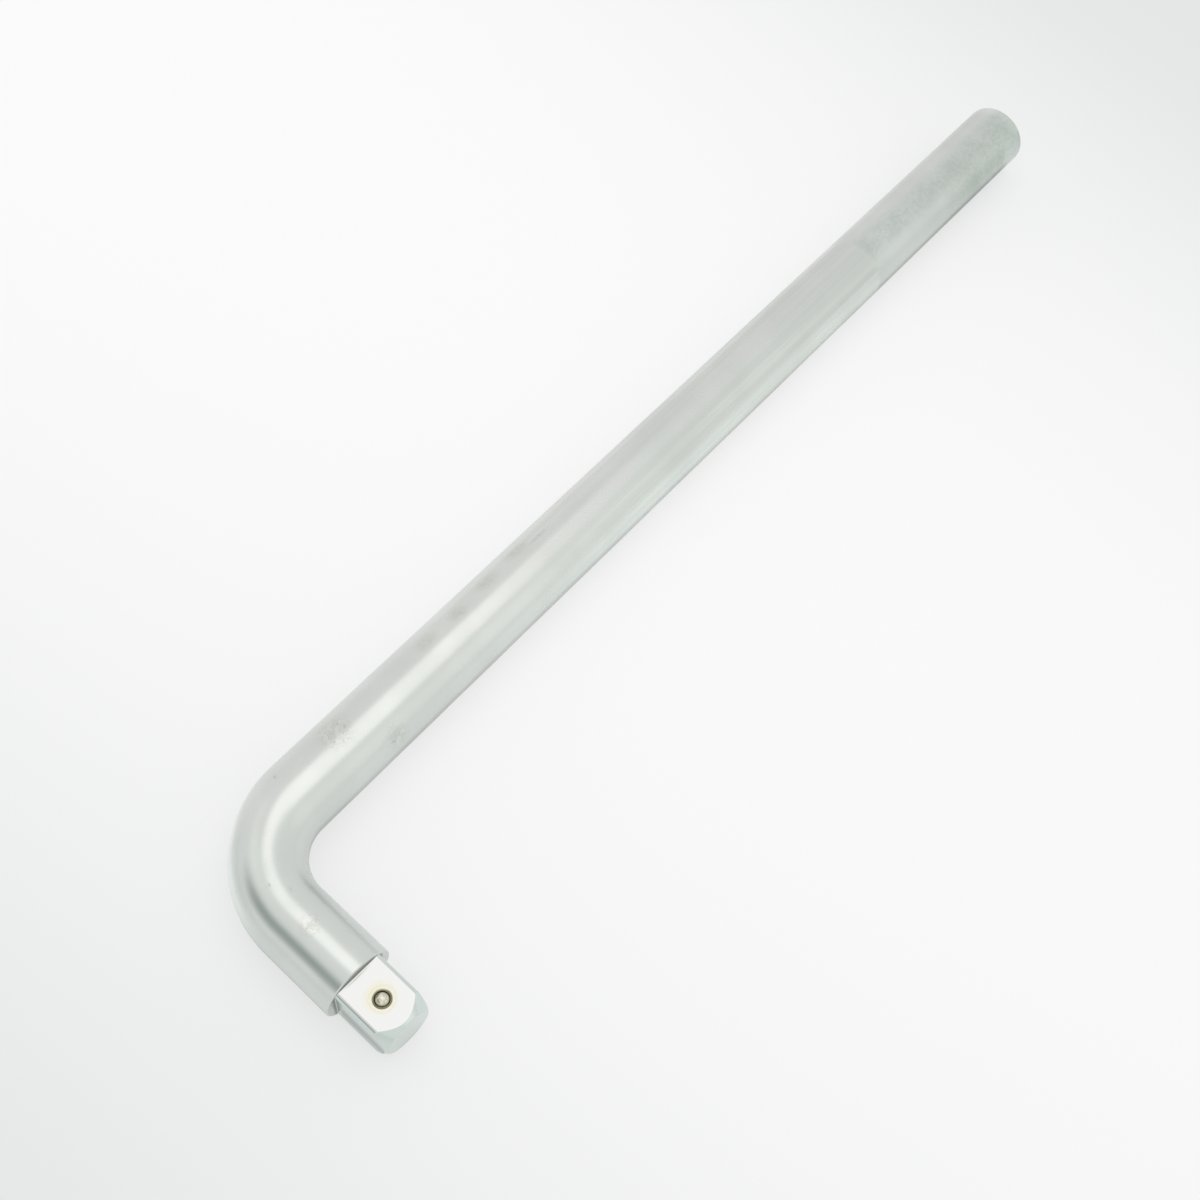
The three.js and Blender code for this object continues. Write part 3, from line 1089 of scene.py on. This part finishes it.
room = {
    "floorSize": 12.0,
    "floorSquares": 4,  # along each side of its mesh
    "floorColour": (0.97, 0.97, 0.97, 1),
    "floorPaintedShade": (0.789, 0.804, 0.796, 1),
    "floorMiddle": 0.226,  # painted shade: the floor darkens away from here along X, and towards -Y
    "floorFall": (5.85, -0.283, 0.16),  # with the square of X, with Y, and everywhere
    "floorGlow": 0.75,  # share of the floor's own brightness in what the camera sees
    "floorMirrorGlow": 0.4,  # the same share in what metal and glass show
    "floorGlowLevel": 0.957,
    "light": (0.93, 0.935, 0.93, 1),
    "brightColour": (1.07, 1.07, 1.05, 1),
    "brightTowards": (0.418, -0.787, 0.454),
    "brightWidth": (math.radians(28), math.radians(5)),  # where it starts and where it is full
    "glowColour": (1.08, 1.085, 1.07, 1),
    "glowTowards": (-0.18, 0.66, 0.73),
    "glowWidth": (math.radians(17), math.radians(4)),
    "darkColour": (0.33, 0.375, 0.35, 1),
    "darkTowards": (-0.783, 0.35, 0.515),
    "darkLength": (math.radians(34), math.radians(9)),
    "darkAcross": (-0.578, 0.012, -0.816),  # square to the dark band
    "darkWidth": (math.radians(22), math.radians(3)),
    "boxSize": (0.95, 1.5),
    "boxPlace": (0.375, 0.0, 1.6),
    "boxColour": (1.0, 0.935, 0.915),
    "boxLevel": 0.49,  # brighter than the room by this
    "fillSize": (2.0, 2.0),
    "fillPlace": (0.2, 0.05, 1.8),
    "fillColour": (0.94, 1.0, 1.0),
    "fillLevel": 0.46,
}
picture = {
    "place": Vector((-0.09067, -0.10930, 0.51114)),
    "target": Vector((0.15754, 0.06219, 0)),
    "roll": math.radians(8.739),
    "lens": 49.14,  # this and the sensor's width in millimetres, as cameras state them
    "sensor": 36.0,
    "nearest": 1 * mm,  # the camera sees nothing closer than this
}


def makeFloor():
    mesh = bmesh.new()
    squares = room["floorSquares"]
    bmesh.ops.create_grid(mesh, x_segments=squares, y_segments=squares, size=room["floorSize"] / 2)
    bmesh.ops.translate(mesh, verts=mesh.verts, vec=(0, 0, -barRadius))
    floor = finishMesh("floor", mesh)
    material, tree, shader = newMaterial("paleFloor", 0.0)
    _, x, y, _ = modelPlace(tree)
    bend, slope, start = room["floorFall"]
    # painted shade: the floor darker away from its middle
    aside = maths(tree, "SUBTRACT", x, room["floorMiddle"])
    fall = raised(tree, product(tree, aside, aside, bend), [(y, slope)])
    edge = ramp(tree, maths(tree, "ADD", fall, start), 0.0, 1.0)
    colour = blendColour(tree, edge, room["floorColour"], room["floorPaintedShade"])
    tree.links.new(colour, shader.inputs["Base Color"])
    shader.inputs["Roughness"].default_value = 1.0
    shader.inputs["Specular IOR Level"].default_value = 0.0
    glow = addNode(tree, "ShaderNodeEmission", {"Color": colour, "Strength": room["floorGlowLevel"]})
    ray = addNode(tree, "ShaderNodeLightPath").outputs
    mirrored = maths(tree, "ADD", ray["Is Glossy Ray"], ray["Is Transmission Ray"])
    seen = product(tree, ray["Is Camera Ray"], room["floorGlow"])
    share = raised(tree, seen, [(mirrored, room["floorMirrorGlow"])])
    both = addNode(tree, "ShaderNodeMixShader", {0: share, 1: shader.outputs[0], 2: glow.outputs[0]})
    tree.links.new(both.outputs[0], tree.nodes["Material Output"].inputs["Surface"])
    floor.data.materials.append(material)


def makeRoom():
    # an even pale room, brighter to one side and glowing softly on another, with one
    # dark band that the short leg mirrors
    world = bpy.data.worlds.new("paleRoom")
    bpy.context.scene.world = world
    world.use_nodes = True
    tree = world.node_tree
    background = tree.nodes["Background"]
    towards = addNode(tree, "ShaderNodeTexCoord").outputs["Generated"]

    def facing(way):
        return vectorMaths(tree, "DOT_PRODUCT", towards, Vector(way).normalized())["Value"]

    def spot(way, width):
        outer, inner = width
        return ramp(tree, facing(way), math.cos(outer), math.cos(inner))

    bright = spot(room["brightTowards"], room["brightWidth"])
    glow = spot(room["glowTowards"], room["glowWidth"])
    outer, inner = room["darkWidth"]
    across = maths(tree, "ABSOLUTE", facing(room["darkAcross"]))
    band = ramp(tree, across, math.sin(outer), math.sin(inner))
    dark = product(tree, spot(room["darkTowards"], room["darkLength"]), band)
    lit = blendColour(tree, bright, room["light"], room["brightColour"])
    lit = blendColour(tree, glow, lit, room["glowColour"])
    lit = blendColour(tree, dark, lit, room["darkColour"])
    tree.links.new(lit, background.inputs["Color"])


def makeLamp(name, size, place, level, colour):
    lamp = bpy.data.lights.new(name, "AREA")
    lamp.shape = "RECTANGLE"
    lamp.size, lamp.size_y = size
    lamp.energy = level * math.pi * lamp.size * lamp.size_y  # so that its face has this level
    lamp.color = colour
    made = bpy.data.objects.new(name, lamp)
    made.location = place
    made.visible_camera = False
    bpy.context.scene.collection.objects.link(made)
    return made


def makeCamera():
    lens = bpy.data.cameras.new("picture")
    lens.lens = picture["lens"]
    lens.sensor_width = picture["sensor"]
    lens.clip_start = picture["nearest"]
    camera = bpy.data.objects.new("picture", lens)
    towards = picture["target"] - picture["place"]
    level = towards.to_track_quat("-Z", "Y")
    camera.rotation_mode = "QUATERNION"
    camera.rotation_quaternion = level @ Quaternion((0, 0, 1), picture["roll"])
    camera.location = picture["place"]
    bpy.context.scene.collection.objects.link(camera)
    bpy.context.scene.camera = camera


makeFloor()
makeRoom()
makeLamp("softbox", room["boxSize"], room["boxPlace"], room["boxLevel"], room["boxColour"])
fill = makeLamp("floorFill", room["fillSize"], room["fillPlace"], room["fillLevel"], room["fillColour"])
fill.visible_glossy = False  # the metal doesn't mirror it
makeCamera()
bpy.context.scene.view_settings.view_transform = "Standard"
print("floor, light and camera made")
